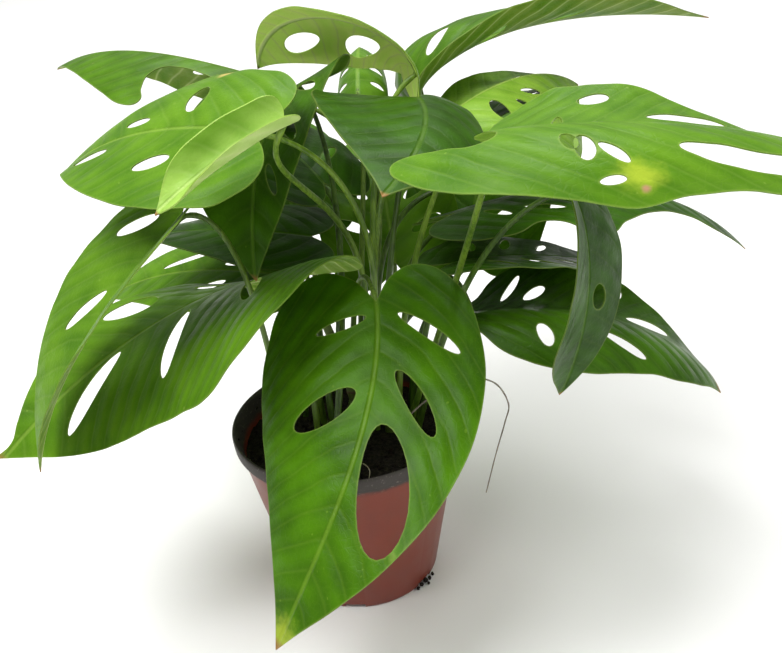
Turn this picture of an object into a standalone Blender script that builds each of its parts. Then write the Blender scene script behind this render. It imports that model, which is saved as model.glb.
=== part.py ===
"""Swiss cheese vine (monstera adansonii) growing in a round nursery pot.

Metres, +Z up. The origin is on the floor under the middle of the pot, and the
plant's front faces -Y. Every leaf blade, leaf stalk and the other pieces are
separate closed solids.
"""
import math
from dataclasses import dataclass

import bmesh
import bpy
from mathutils import Vector
from mathutils.geometry import interpolate_bezier

MM = 0.001

# Pot: a 12 cm nursery pot with a rolled rim band and drain notches in its foot
POT_RIM_RADIUS = 60.0 * MM
POT_BELOW_RIM_RADIUS = 57.2 * MM
POT_BASE_RADIUS = 40.0 * MM
POT_HEIGHT = 95.0 * MM
POT_WALL = 1.6 * MM
RIM_BAND_HEIGHT = 8.0 * MM
FOOT_HEIGHT = 3.0 * MM
DRAIN_COUNT = 6
DRAIN_START = 0.3
DRAIN_RADIUS = 4.0 * MM
DRAIN_RING_RADIUS = 31.0 * MM
NOTCH_WIDTH = 11.0 * MM
NOTCH_HEIGHT = 2.8 * MM

# Soil: a slightly domed plug that fills the pot to below the rim
SOIL_TOP = 84.0 * MM
SOIL_EDGE_DROP = 3.0 * MM
SEAT_GAP = 0.3 * MM

# Leaves
BLADE_THICKNESS = 1.0 * MM
STALK_RADIUS = 1.7 * MM
STALK_END_RADIUS = 1.0 * MM
STALK_END_DROP = 1.75 * MM
STALK_NOTCH_GAP = 2.2 * MM
STALK_POINTS = 10
STEM_RADIUS = 3.2 * MM
STEM_HEIGHT = 72.0 * MM
STEM_POINTS = 7
AERIAL_ROOT_RADIUS = 0.5 * MM
AERIAL_ROOT_POINTS = 18

# Half of a blade's edge, from the notch at the stalk to the tip: the first number
# runs along the midrib (1 is the tip, -1 the back of the basal lobe) and the second
# across it (1 is the widest place)
HALF_OUTLINE = [
    (0.0, 0.0), (-0.75, 0.20), (-1.0, 0.48), (-0.45, 0.78), (0.10, 0.95), (0.27, 1.0),
    (0.47, 0.90), (0.66, 0.66), (0.82, 0.36), (0.92, 0.15), (0.97, 0.055), (1.0, 0.0),
]
WIDEST_AT = 0.27
BEND_LINES_ALONG = 6
MIDRIB_STEPS = 40
HOLE_POINTS = 6


@dataclass
class Blade:
    """One leaf blade: millimetres and degrees, heading 0 is +X and 90 is +Y.

    An edge is a row of points (along the midrib, across it) from the notch to the tip,
    both ends left out; without one, that side takes the usual outline.
    """

    at: tuple
    heading: float
    pitch: float
    length: float
    left: float
    right: float
    droop: float = 40.0
    bend: float = 1.2
    sweep: float = 0.0
    roll: float = 0.0
    twist: float = 0.0
    fold: tuple = (5.0, 5.0)
    cup: tuple = (-12.0, -12.0)
    lobe: float = 0.12
    belly: float = 0.27
    left_edge: tuple = ()
    right_edge: tuple = ()
    tip: tuple = ()
    holes: tuple = ()
    colour: tuple = (0.06, 0.16, 0.02)


@dataclass
class Stalk:
    """One leaf stalk: where it leaves the soil, and how it leans at both ends."""

    root: tuple
    lean: tuple
    arrive: tuple = ()
    behind: bool = False


# A usual set of holes as (start along, start across, end along, end across, width),
# as shares of the blade's length and half width
USUAL_HOLES = (
    (0.16, 0.30, 0.24, 0.74, 0.05),
    (0.34, 0.26, 0.46, 0.68, 0.055),
    (0.54, 0.20, 0.66, 0.44, 0.045),
    (0.14, -0.30, 0.22, -0.74, 0.05),
    (0.32, -0.26, 0.44, -0.70, 0.055),
    (0.52, -0.22, 0.64, -0.46, 0.045),
)

BLADES = {
    "front": Blade(
        at=(18, -41, 175), heading=-92, pitch=-30, droop=30, sweep=-69, length=155,
        left=46, right=55, roll=-2, twist=-11, fold=(2, 2), cup=(-11, -37),
        holes=((8, -5, 15, -27, 6), (7, 9, 25, 35, 6), (44, -7, 66, -31, 13),
               (34, 9, 58, 29, 8), (57, 7, 104, 24, 21, -0.15)),
    ),
    "upper_left": Blade(
        at=(-26, -38, 254), heading=154, pitch=4, droop=37, sweep=-13, length=114,
        left=44, right=42, roll=-31, twist=16, fold=(2, 9), cup=(-7, -31),
        holes=((68, 8, 90, 9, 7), (28, 17, 43, 24, 7), (8, 12, 14, 25, 10),
               (31, -9, 32, -27, 9), (52, -8, 66, -8, 5)),
    ),
    "young": Blade(
        at=(-11, -62, 261), heading=200, pitch=-14, droop=20, bend=0.8, length=58,
        left=24, right=13, roll=-15, fold=(12, 12), cup=(50, 100), lobe=0.05, belly=0.5,
    ),
    "far_upper_left": Blade(
        at=(-14, 93, 248), heading=168, pitch=19, droop=43, bend=1.8, sweep=-28,
        length=151, left=48, right=42, roll=-5, twist=2, fold=(-6, -30), cup=(-28, -45),
        holes=((74, -6, 107, -9, 7), (36, -9, 58, -20, 6)),
        left_edge=((-10, 14), (-8, 29), (8, 37), (22, 30), (30, 16), (40, 12), (52, 11),
                   (60, 14), (64, 22), (63, 33), (60, 42), (66, 46), (84, 39), (105, 27),
                   (130, 12)),
    ),
    "inner_left": Blade(
        at=(-4, 41, 255), heading=-117, pitch=13, droop=100, bend=0.7, sweep=5,
        length=112, left=33, right=41, roll=7, twist=-6, fold=(19, 12), cup=(2, -11),
        lobe=0.15, holes=USUAL_HOLES,
    ),
    "top_left": Blade(
        at=(49, 6, 261), heading=156, pitch=93, droop=133, bend=0.4, sweep=-56,
        length=144, left=12, right=47, roll=22, twist=28, fold=(1, 6), cup=(-10, -30),
        holes=((37, -24, 70, -32, 16), (79, -15, 110, -12, 12)),
    ),
    "top_right": Blade(
        at=(59, 93, 238), heading=-3, pitch=104, droop=114, bend=0.2, sweep=-7, length=163,
        left=46, right=43, roll=22, twist=-24, fold=(13, 14), cup=(-40, 45), lobe=0.12,
        holes=((15, 11, 30, 33, 8), (46, 9, 66, 28, 7), (37, -9, 54, -30, 7),
               (73, -7, 95, -21, 6)), belly=0.42,
    ),
    "right": Blade(
        at=(62, -103, 257), heading=-21, pitch=11, droop=43, bend=0.8, sweep=53,
        length=138, left=45, right=52, roll=-15, twist=16, fold=(7, 20), cup=(20, -80),
        lobe=0.20,
        holes=((28, 31, 43, 36, 9), (52, 15, 88, 17, 9), (17, 0, 19, 20, 4),
               (36, -8, 42, 8, 5), (27, -33, 33, -42, 4), (23, -29, 24, -41, 5),
               (19, -28, 21, -36, 4), (26, -49, 32, -47, 3)),
        tip=(134, 0),
        left_edge=((-8, 4), (-9, 15), (-4, 32), (5, 44), (15, 47), (27, 46), (51, 44),
                   (65, 40), (79, 29), (92, 22), (110, 14)),
        right_edge=((-8, -4), (-3, -14), (2, -26), (-4, -31), (-14, -29), (-26, -29),
                    (-30, -34), (-22, -44), (-10, -49), (1, -52), (17, -54), (32, -56),
                    (46, -52), (58, -49), (72, -49), (84, -50), (74, -43), (60, -41),
                    (50, -38), (46, -33), (54, -31), (68, -33), (84, -31), (104, -23),
                    (122, -11)),
    ),
    "far_right": Blade(
        at=(70, 33, 238), heading=30, pitch=19, droop=47, bend=1.0, sweep=16,
        length=104, left=40, right=58, roll=-18, twist=47, fold=(-28, -22),
        cup=(44, -39),
        holes=((50, 9, 68, 15, 5), (35, -10, 47, -14, 5), (15, -9, 9, -26, 8),
               (26, -15, 29, -22, 4)),
    ),
    "centre": Blade(
        at=(46, -10, 254), heading=-85, pitch=2, droop=17, bend=0.5, sweep=-43,
        length=93, left=27, right=47, roll=-1, twist=-15, fold=(-4, -3), cup=(-37, 27),
    ),
    "arched_back": Blade(
        at=(25, 72, 243), heading=84, pitch=25, droop=45, length=92, left=26, right=26,
        fold=(-25, -25), cup=(-60, -60), holes=USUAL_HOLES, roll=-3,
    ),
    "lower_right": Blade(
        at=(68, -9, 148), heading=-9, pitch=6, droop=60, bend=1.0, sweep=18,
        length=144, left=56, right=48, roll=-32, twist=41, fold=(-2, 1), cup=(54, -59),
        lobe=0.07,
        holes=((14, 28, 27, 48, 5), (27, 24, 40, 37, 8), (27, -25, 28, -41, 7),
               (54, -24, 76, -31, 7), (80, 9, 109, 13, 11), (82, 30, 84, 37, 4)),
        left_edge=((-6, 14), (-7, 28), (2, 42), (10, 50), (20, 54), (35, 56), (52, 53),
                   (68, 50), (83, 43), (97, 36), (112, 27), (126, 10)),
        right_edge=((-7, -11), (-6, -24), (2, -37), (8, -45), (16, -50), (28, -52),
                    (50, -49), (77, -39), (93, -35), (113, -27), (126, -20)),
        tip=(136, -16),
    ),
    "hanging_right": Blade(
        at=(94, -74, 227), heading=-53, pitch=-35, droop=83, bend=0.4, sweep=-17,
        length=101, left=28, right=31, roll=-23, twist=29, fold=(5, 12), cup=(-10, 10),
        holes=((42, 6, 54, 10, 8),),
    ),
    "mid_right": Blade(
        at=(66, 30, 186), heading=5, pitch=10, droop=60, bend=1.6, sweep=-17, length=165,
        left=48, right=49, roll=-8, twist=4, fold=(-5, -4), cup=(-24, -16),
        holes=((13, -10, 24, -22, 5), (32, -17, 51, -26, 5), (22, 11, 37, 30, 8),
               (50, 10, 66, 28, 8), (62, -9, 83, -22, 8)),
        right_edge=((-15, -9), (-17, -21), (-5, -34), (10, -41), (23, -41), (34, -37),
                    (44, -39), (55, -49), (66, -53), (79, -41), (100, -26), (120, -18),
                    (137, -17), (152, -10)),
    ),
    "under_right": Blade(
        at=(59, 6, 169), heading=12, pitch=9, droop=32, bend=0.4, sweep=16, length=100,
        left=37, right=37, roll=-6, twist=17, fold=(2, 10), cup=(-7, -3),
        holes=USUAL_HOLES,
    ),
    "narrow_left": Blade(
        at=(-59, -31, 220), heading=210, pitch=-35, droop=40, bend=1.7, sweep=-16,
        length=129, left=35, right=44, roll=12, twist=-11, fold=(15, 19), cup=(-3, -5),
        lobe=0.1, belly=0.30,
        holes=((44, -7, 69, -18, 6), (5, -13, 23, -30, 8), (41, 8, 59, 18, 5)),
    ),
    "lower_left": Blade(
        at=(-20, 8, 171), heading=199, pitch=30, droop=69, bend=0.4, sweep=1,
        length=156, left=77, right=44, roll=31, twist=-70, fold=(4, 3), cup=(-18, -8),
        belly=0.36,
        left_edge=((-10, 20), (-14, 42), (0, 62), (12, 72), (24, 77), (36, 77), (50, 77),
                   (67, 75), (79, 66), (94, 55), (110, 45), (123, 36), (138, 23), (150, 10)),
        tip=(163, -4),
        holes=((61, -27, 88, -28, 16, 0.3), (52, 9, 77, 43, 8, -0.2), (88, 3, 129, 19, 9),
               (28, -9, 43, -26, 6), (21, 17, 32, 47, 9)),
    ),
    "mid_left": Blade(
        at=(-22, 59, 150), heading=160, pitch=8, droop=40, bend=1.3, sweep=-5,
        length=130, left=35, right=39, roll=-18, cup=(-10, -25), lobe=0.05,
        holes=((50, -17, 82, -6, 5), (28, -7, 41, -5, 4), (35, 9, 53, 21, 6)),
    ),
    "inner_centre_left": Blade(
        at=(-8, 48, 176), heading=179, pitch=14, droop=25, sweep=-15, length=101,
        left=39, right=41, roll=-13, twist=25, fold=(6, 5), cup=(-12, -22),
    ),
    "back_left": Blade(
        at=(-16, 98, 171), heading=109, pitch=47, droop=60, length=128, left=43,
        right=45, roll=3, holes=USUAL_HOLES,
    ),
    "back_right": Blade(
        at=(85, 101, 137), heading=66, pitch=55, droop=60, length=136, left=47, right=47,
        roll=-5, holes=USUAL_HOLES,
    ),
    "back_high_left": Blade(
        at=(2, 50, 203), heading=128, pitch=35, droop=62, length=110, left=38, right=38,
        roll=8, holes=USUAL_HOLES,
    ),
    "back_high_right": Blade(
        at=(69, 50, 205), heading=50, pitch=30, droop=50, length=115, left=38, right=38,
        roll=-8, holes=USUAL_HOLES,
    ),
    "back_low": Blade(
        at=(36, 62, 150), heading=90, pitch=52, droop=60, length=120, left=40, right=40,
        holes=USUAL_HOLES,
    ),
}

STALKS = {
    "front": Stalk(root=(5, 12), lean=(1, -7, 80), arrive=(-2, 28, 16)),
    "upper_left": Stalk(root=(-4, -10), lean=(43, -1, 91), arrive=(42, 7, -10)),
    "young": Stalk(root=(0, 0), lean=(49, 23, 133), arrive=(-27, 9, -34)),
    "far_upper_left": Stalk(root=(1, 21), lean=(61, 60, 150), arrive=(27, -4, -33)),
    "inner_left": Stalk(root=(-10, -24), lean=(24, 7, 109), arrive=(11, 27, -27)),
    "top_left": Stalk(root=(14, -2), lean=(8, 0, 90)),
    "top_right": Stalk(root=(17, 4), lean=(1, 22, 187), arrive=(9, 20, -51)),
    "right": Stalk(root=(30, -4), lean=(49, 1, 130), arrive=(-14, -15, -19)),
    "far_right": Stalk(root=(26, -1), lean=(7, 3, 115), arrive=(-1, -16, -23)),
    "centre": Stalk(root=(19, 14), lean=(7, 3, 79), arrive=(-7, 12, -25)),
    "arched_back": Stalk(root=(8, 20), lean=(8, 8, 102), arrive=(3, -5, -30)),
    "lower_right": Stalk(root=(34, 0), lean=(14, 0, 100), arrive=(-6, 6, 26), behind=True),
    "hanging_right": Stalk(root=(34, -10), lean=(20, -6, 80)),
    "mid_right": Stalk(root=(23, 14), lean=(5, 14, 83), arrive=(-14, 13, -17)),
    "under_right": Stalk(root=(33, 8), lean=(8, 0, 70)),
    "narrow_left": Stalk(root=(-31, -13), lean=(-1, -12, 16), arrive=(29, 5, 3)),
    "lower_left": Stalk(root=(-16, -14), lean=(0, 0, 70), arrive=(8, 10, -25)),
    "mid_left": Stalk(root=(-13, 10), lean=(-4, 0, 60), arrive=(19, 7, -33)),
    "inner_centre_left": Stalk(root=(-8, -7), lean=(-2, 4, 83), arrive=(-1, -12, -23)),
    "back_left": Stalk(root=(-23, 22), lean=(5, 10, 42), arrive=(7, 3, -41)),
    "back_right": Stalk(root=(17, 25), lean=(9, 2, 69), arrive=(-5, -3, -30)),
    "back_high_left": Stalk(root=(-5, 25), lean=(9, 9, 86), arrive=(12, -8, -17)),
    "back_high_right": Stalk(root=(21, 33), lean=(-5, 20, 139), arrive=(6, -16, -19)),
    "back_low": Stalk(root=(4, 28), lean=(0, 8, 50)),
}


# Short stems: the place on the soil and how far the top leans, in millimetres
STEMS = [((7, -3), (-14, -4)), ((12, 12), (6, -6)), ((21, -4), (3, 5))]

# The thread-like root, from the stems over the pot's edge, in millimetres
AERIAL_ROOT = [
    (22, -7.1, 92), (27, -18, 98), (40, -24, 112), (58, -24, 120), (73, -20, 114), (80, -20, 101),
    (78, -20, 90), (73, -20, 72), (67, -20, 48),
]


def principled(name, colour, roughness):
    """A plain material with the colour seen in daylight."""
    material = bpy.data.materials.new(name)
    material.use_nodes = True
    shader = material.node_tree.nodes["Principled BSDF"]
    shader.inputs["Base Color"].default_value = (*colour, 1.0)
    shader.inputs["Roughness"].default_value = roughness
    shader.inputs["Metallic"].default_value = 0.0
    return material


def add_object(name, data, material, collection):
    """Links new data as an object of the given collection."""
    piece = bpy.data.objects.new(name, data)
    if material is not None:
        data.materials.append(material)
    collection.objects.link(piece)
    return piece


def mesh_of(piece):
    """A real mesh of a curve or of an object with modifiers."""
    depsgraph = bpy.context.evaluated_depsgraph_get()
    depsgraph.update()
    return bpy.data.meshes.new_from_object(piece.evaluated_get(depsgraph))


def turned(name, profile, material, collection, steps=40):
    """A solid turned about Z from a profile of (radius, height) points."""
    mesh = bpy.data.meshes.new(name)
    points = [(radius, 0.0, height) for radius, height in profile]
    mesh.from_pydata(points, [(i, i + 1) for i in range(len(points) - 1)], [])
    piece = add_object(name, mesh, material, collection)
    screw = piece.modifiers.new("turn", "SCREW")
    screw.steps = steps
    screw.render_steps = steps
    screw.use_merge_vertices = True
    screw.merge_threshold = 0.00001
    screw.use_normal_calculate = False
    return piece


def half_edge(blade, side):
    """Points along one half of the blade's edge, without the notch and the tip."""
    own = blade.left_edge if side > 0 else blade.right_edge
    if own:
        return [Vector(spot) for spot in own]
    width = side * (blade.left if side > 0 else blade.right)
    shaped = []
    for along, across in HALF_OUTLINE:
        if along < 0:
            along *= blade.lobe
        elif along <= WIDEST_AT:
            along *= blade.belly / WIDEST_AT
        else:
            along = blade.belly + (along - WIDEST_AT) * (1 - blade.belly) / (1 - WIDEST_AT)
        shaped.append(Vector((along * blade.length, across * width)))
    return shaped[1:-1]


def hole_points(hole, blade):
    """An oval around the line from a hole's start to its end, blunter at its start."""
    x0, y0, x1, y1, width, *blunt = hole
    if abs(x1) <= 1.0 and abs(y1) <= 1.0:
        half = blade.left if y0 > 0 else blade.right
        x0, x1 = x0 * blade.length, x1 * blade.length
        y0, y1 = y0 * half, y1 * half
        width *= blade.length
    centre = Vector(((x0 + x1) / 2, (y0 + y1) / 2))
    axis = Vector((x1 - x0, y1 - y0)) / 2
    side = Vector((-axis.y, axis.x)).normalized() * width / 2
    points = []
    for step in range(HOLE_POINTS):
        turn = step * math.tau / HOLE_POINTS
        swell = 1.0 - (blunt[0] if blunt else 0.0) * math.cos(turn)
        points.append(centre + axis * math.cos(turn) + side * math.sin(turn) * swell)
    return points


def flat_blade(blade, collection):
    """The flat blade with its holes, in the plane z = 0, midrib along +X."""
    notch = Vector((0.0, 0.0))
    tip = Vector(blade.tip or (blade.length, 0.0))
    left = half_edge(blade, 1)
    edge = [notch, *left, tip, *reversed(half_edge(blade, -1))]
    curve = bpy.data.curves.new("flat", "CURVE")
    curve.dimensions = "2D"
    curve.fill_mode = "BOTH"
    curve.resolution_u = 2
    curve.render_resolution_u = 0
    outline = curve.splines.new("BEZIER")
    outline.bezier_points.add(len(edge) - 1)
    for index, (knot, place) in enumerate(zip(outline.bezier_points, edge)):
        knot.co = (place.x * MM, place.y * MM, 0)
        kind = "VECTOR" if index in (0, len(left) + 1) else "AUTO"
        knot.handle_left_type = kind
        knot.handle_right_type = kind
    outline.use_cyclic_u = True
    for hole in blade.holes:
        slit = curve.splines.new("POLY")
        places = hole_points(hole, blade)
        slit.points.add(len(places) - 1)
        for knot, place in zip(slit.points, places):
            knot.co = (place.x * MM, place.y * MM, 0, 1)
        slit.use_cyclic_u = True
    guide = add_object("flat", curve, None, collection)
    mesh = mesh_of(guide)
    bpy.data.objects.remove(guide)
    return mesh


def add_bend_lines(sheet, blade):
    """Cuts the flat sheet along the lines where it will bend."""
    cuts = [((0, across * MM, 0), (0, 1, 0)) for across in (0, blade.left / 2, -blade.right / 2)]
    for step in range(BEND_LINES_ALONG):
        along = blade.length * MM * step / BEND_LINES_ALONG
        cuts.append(((along, 0, 0), (1, 0, 0)))
    for place, normal in cuts:
        everything = sheet.verts[:] + sheet.edges[:] + sheet.faces[:]
        cut = bmesh.ops.bisect_plane(
            sheet, geom=everything, plane_co=place, plane_no=normal, dist=1e-7
        )
        for piece in cut["geom_cut"]:
            if isinstance(piece, bmesh.types.BMEdge):
                piece.seam = True
    bmesh.ops.dissolve_limit(
        sheet, angle_limit=0.001, verts=sheet.verts, edges=sheet.edges, delimit={"SEAM"}
    )
    bmesh.ops.triangulate(sheet, faces=sheet.faces)


def frame_at(blade, along):
    """The midrib's place and its forward, left and up directions at one length."""
    place = Vector(blade.at)
    length = blade.length
    reach = min(max(along, 0.0), length)
    steps = max(1, round(MIDRIB_STEPS * reach / length))

    def forward_at(distance):
        share = distance / length
        pitch = math.radians(blade.pitch - blade.droop * share**blade.bend)
        heading = math.radians(blade.heading + blade.sweep * share)
        level = math.cos(pitch)
        return Vector((level * math.cos(heading), level * math.sin(heading), math.sin(pitch)))

    for step in range(steps):
        place = place + forward_at((step + 0.5) * reach / steps) * (reach / steps)
    forward = forward_at(reach)
    heading = math.radians(blade.heading + blade.sweep * reach / length)
    level_left = Vector((-math.sin(heading), math.cos(heading), 0.0))
    up = forward.cross(level_left)
    roll = math.radians(blade.roll + blade.twist * reach / length)
    left = level_left * math.cos(roll) + up * math.sin(roll)
    normal = up * math.cos(roll) - level_left * math.sin(roll)
    return place + forward * (along - reach), forward, left, normal


def bent(blade, along, across):
    """Where a point of the flat blade goes on the living leaf."""
    place, _, left, normal = frame_at(blade, along)
    side = 0 if across >= 0 else 1
    width = blade.left if side == 0 else blade.right
    distance = abs(across)
    fold = math.radians(blade.fold[side])
    curl = math.radians(blade.cup[side]) / width
    if abs(curl) < 1e-6:
        out, rise = distance * math.cos(fold), distance * math.sin(fold)
    else:
        out = (math.sin(fold + curl * distance) - math.sin(fold)) / curl
        rise = (math.cos(fold) - math.cos(fold + curl * distance)) / curl
    return place + left * (out if side == 0 else -out) + normal * rise


def leaf_blade(name, blade, collection):
    """One leaf blade as a thin closed solid."""
    mesh = flat_blade(blade, collection)
    sheet = bmesh.new()
    sheet.from_mesh(mesh)
    bmesh.ops.remove_doubles(sheet, verts=sheet.verts, dist=1e-6)
    add_bend_lines(sheet, blade)
    bmesh.ops.recalc_face_normals(sheet, faces=sheet.faces)
    for vertex in sheet.verts:
        place = bent(blade, vertex.co.x / MM, vertex.co.y / MM)
        vertex.co = place * MM
    sheet.to_mesh(mesh)
    sheet.free()
    mesh.materials.clear()
    piece = add_object(name, mesh, principled(name, blade.colour, 0.4), collection)
    solidify = piece.modifiers.new("thickness", "SOLIDIFY")
    solidify.thickness = BLADE_THICKNESS
    solidify.offset = 0.0
    return piece


def tube(name, points, radii, material, collection):
    """A tapering tube with closed ends along the given points."""
    curve = bpy.data.curves.new(name, "CURVE")
    curve.dimensions = "3D"
    curve.bevel_depth = 1.0
    curve.bevel_resolution = 1
    curve.use_fill_caps = True
    curve.render_resolution_u = 0
    route = curve.splines.new("POLY")
    route.points.add(len(points) - 1)
    for knot, place, radius in zip(route.points, points, radii):
        knot.co = (*place, 1)
        knot.radius = radius
    return add_object(name, curve, material, collection)


def leaf_stalk(name, blade, stalk, collection):
    """A leaf stalk from the soil up to the notch of its blade."""
    place, forward, _, normal = frame_at(blade, 0.0)
    root = Vector((stalk.root[0], stalk.root[1], 0.0)) * MM
    root.z = soil_height(root.length) + 2 * SEAT_GAP
    inward = forward if stalk.behind else (forward * 0.5 + normal * 0.87).normalized()
    end = place * MM - inward * (STALK_NOTCH_GAP if stalk.behind else STALK_END_DROP)
    if stalk.arrive:
        approach = end + Vector(stalk.arrive) * MM
    else:
        approach = end - inward * 32.0 * MM
    rise = root + Vector(stalk.lean) * MM
    points = interpolate_bezier(root, rise, approach, end, STALK_POINTS)
    spread = STALK_RADIUS - STALK_END_RADIUS
    radii = [STALK_RADIUS - spread * step / (STALK_POINTS - 1) for step in range(STALK_POINTS)]
    return tube(name, points, radii, principled(name, (0.05, 0.12, 0.02), 0.5), collection)


def stem(index, root, lean, collection):
    """A short climbing stem with a tapered, cut-off top."""
    foot = Vector((root[0], root[1], 0.0)) * MM
    foot.z = soil_height(foot.length) + 2 * SEAT_GAP
    points = []
    radii = []
    for step in range(STEM_POINTS):
        share = step / (STEM_POINTS - 1)
        aside = Vector((lean[0], lean[1], 0.0)) * MM * share**1.5
        points.append(foot + aside + Vector((0.0, 0.0, STEM_HEIGHT * share)))
        radii.append(STEM_RADIUS * (1 - 0.3 * share))
    tube(f"stem_{index}", points, radii, principled("stem", (0.07, 0.12, 0.03), 0.6), collection)


def aerial_root(collection):
    """A thread-like root that hangs over the pot's edge."""
    route = smooth_route([Vector(place) * MM for place in AERIAL_ROOT], AERIAL_ROOT_POINTS)
    radii = [AERIAL_ROOT_RADIUS] * len(route)
    tube("aerial_root", route, radii, principled("aerial_root", (0.2, 0.16, 0.12), 0.7), collection)


def smooth_route(places, count):
    """Points along a smooth curve through the given places."""
    padded = [2 * places[0] - places[1], *places, 2 * places[-1] - places[-2]]
    route = []
    spans = len(places) - 1
    for step in range(count):
        reach = min(step * spans / (count - 1), spans - 1e-9)
        index = int(reach)
        share = reach - index
        before, start, stop, after = padded[index : index + 4]
        route.append(
            0.5
            * (
                2 * start
                + (stop - before) * share
                + (2 * before - 5 * start + 4 * stop - after) * share**2
                + (3 * start - before - 3 * stop + after) * share**3
            )
        )
    return route


def soil_height(radius):
    """The height of the soil's top, which falls a little towards the pot's wall."""
    return SOIL_TOP - SOIL_EDGE_DROP * (radius / POT_BELOW_RIM_RADIUS) ** 2


def wall_radius(height):
    """The radius of the pot's outside below the rim band."""
    share = height / (POT_HEIGHT - RIM_BAND_HEIGHT)
    return POT_BASE_RADIUS + (POT_BELOW_RIM_RADIUS - POT_BASE_RADIUS) * share


def cut_with(body, name, cutter, cutters):
    """Takes the cutter's shape out of the body; the cutter itself never shows."""
    cutter.name = f"{name}_cutter"
    for owner in list(cutter.users_collection):
        owner.objects.unlink(cutter)
    cutters.objects.link(cutter)
    cutter.hide_render = True
    cutter.display_type = "WIRE"
    opening = body.modifiers.new(name, "BOOLEAN")
    opening.object = cutter
    opening.operation = "DIFFERENCE"


def build_pot(collection, cutters):
    """The pot: a thin turned wall, a rim band and drain holes in a raised floor."""
    band_bottom = POT_HEIGHT - RIM_BAND_HEIGHT
    inside_bottom = FOOT_HEIGHT + POT_WALL
    profile = [
        (0.0, inside_bottom),
        (wall_radius(inside_bottom) - POT_WALL, inside_bottom),
        (wall_radius(band_bottom) - POT_WALL, band_bottom),
        (POT_RIM_RADIUS - 1.2 * POT_WALL, POT_HEIGHT - 1.0 * MM),
        (POT_RIM_RADIUS - 0.8 * POT_WALL, POT_HEIGHT),
        (POT_RIM_RADIUS - 0.3 * POT_WALL, POT_HEIGHT),
        (POT_RIM_RADIUS, POT_HEIGHT - 0.8 * MM),
        (POT_RIM_RADIUS - 0.4 * MM, band_bottom),
        (wall_radius(band_bottom), band_bottom - 0.6 * MM),
        (POT_BASE_RADIUS + 0.6 * MM, 1.0 * MM),
        (POT_BASE_RADIUS - 0.4 * MM, 0.0),
        (POT_BASE_RADIUS - 2.6 * MM, 0.0),
        (POT_BASE_RADIUS - 4.6 * MM, FOOT_HEIGHT),
        (21.0 * MM, FOOT_HEIGHT),
        (19.0 * MM, 0.0),
        (0.0, 0.0),
    ]
    pot = turned("pot", profile, principled("pot", (0.16, 0.045, 0.03), 0.5), collection)
    for index in range(DRAIN_COUNT):
        turn = (index + DRAIN_START) * math.tau / DRAIN_COUNT
        place = (DRAIN_RING_RADIUS * math.cos(turn), DRAIN_RING_RADIUS * math.sin(turn), 0.0)
        bpy.ops.mesh.primitive_cylinder_add(
            vertices=12, radius=DRAIN_RADIUS, depth=20 * MM, location=place, rotation=(0, 0, turn)
        )
        cut_with(pot, f"drain_{index}", bpy.context.object, cutters)
        reach = POT_BASE_RADIUS - 2 * MM
        place = (reach * math.cos(turn), reach * math.sin(turn), 0.0)
        bpy.ops.mesh.primitive_cube_add(size=1.0, location=place, rotation=(0, 0, turn))
        bpy.context.object.scale = (8 * MM, NOTCH_WIDTH, 2 * NOTCH_HEIGHT)
        cut_with(pot, f"notch_{index}", bpy.context.object, cutters)
    return pot


def build_soil(collection):
    """The soil that fills the pot, clear of its wall and floor by the seat gap."""
    bottom = FOOT_HEIGHT + POT_WALL + SEAT_GAP
    inner = POT_WALL + SEAT_GAP
    top = soil_height(POT_BELOW_RIM_RADIUS)
    profile = []
    for share in (0.0, 0.25, 0.5, 0.75):
        radius = share * (wall_radius(top) - inner)
        profile.append((radius, soil_height(radius)))
    profile.append((wall_radius(top) - inner, top))
    profile.append((wall_radius(bottom) - inner, bottom))
    profile.append((0.0, bottom))
    return turned("soil", profile, principled("soil", (0.01, 0.008, 0.006), 0.95), collection, 32)


def build():
    """Builds every piece."""
    for old in list(bpy.data.objects):
        bpy.data.objects.remove(old)
    plant = bpy.data.collections.new("monstera_adansonii")
    cutters = bpy.data.collections.new("cutters")
    bpy.context.scene.collection.children.link(plant)
    bpy.context.scene.collection.children.link(cutters)
    build_pot(plant, cutters)
    build_soil(plant)
    for index, (root, lean) in enumerate(STEMS):
        stem(index + 1, root, lean, plant)
    aerial_root(plant)
    for name, blade in BLADES.items():
        leaf_blade(f"leaf_{name}", blade, plant)
        leaf_stalk(f"stalk_{name}", blade, STALKS[name], plant)


build()
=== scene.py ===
# %% [markdown]
# # A monstera adansonii in its nursery pot
# The plant is a climbing aroid: thin leaf blades with holes, each on its own round stalk, on short
# stems that stand in dark soil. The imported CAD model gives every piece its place. This script gives
# every piece its look: fine curved blades with veins, stalks that swell where they meet the blade,
# a moulded pot and loose soil.

import math
import random
from dataclasses import dataclass

import bpy
from mathutils import Matrix, Vector, kdtree, noise
from mathutils.geometry import interpolate_bezier


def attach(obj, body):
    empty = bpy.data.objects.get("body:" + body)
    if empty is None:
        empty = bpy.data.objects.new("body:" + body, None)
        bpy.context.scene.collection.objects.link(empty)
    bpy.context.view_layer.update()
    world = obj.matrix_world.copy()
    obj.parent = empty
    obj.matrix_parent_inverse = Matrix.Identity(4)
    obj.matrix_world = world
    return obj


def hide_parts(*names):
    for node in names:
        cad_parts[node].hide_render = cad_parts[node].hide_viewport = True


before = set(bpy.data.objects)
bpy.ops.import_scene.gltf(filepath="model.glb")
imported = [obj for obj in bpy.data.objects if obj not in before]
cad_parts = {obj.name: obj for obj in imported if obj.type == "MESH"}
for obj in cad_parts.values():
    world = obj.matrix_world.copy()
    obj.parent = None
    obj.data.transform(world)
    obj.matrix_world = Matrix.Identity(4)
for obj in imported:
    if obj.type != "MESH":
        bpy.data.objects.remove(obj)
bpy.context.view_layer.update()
MM = 0.001


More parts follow.
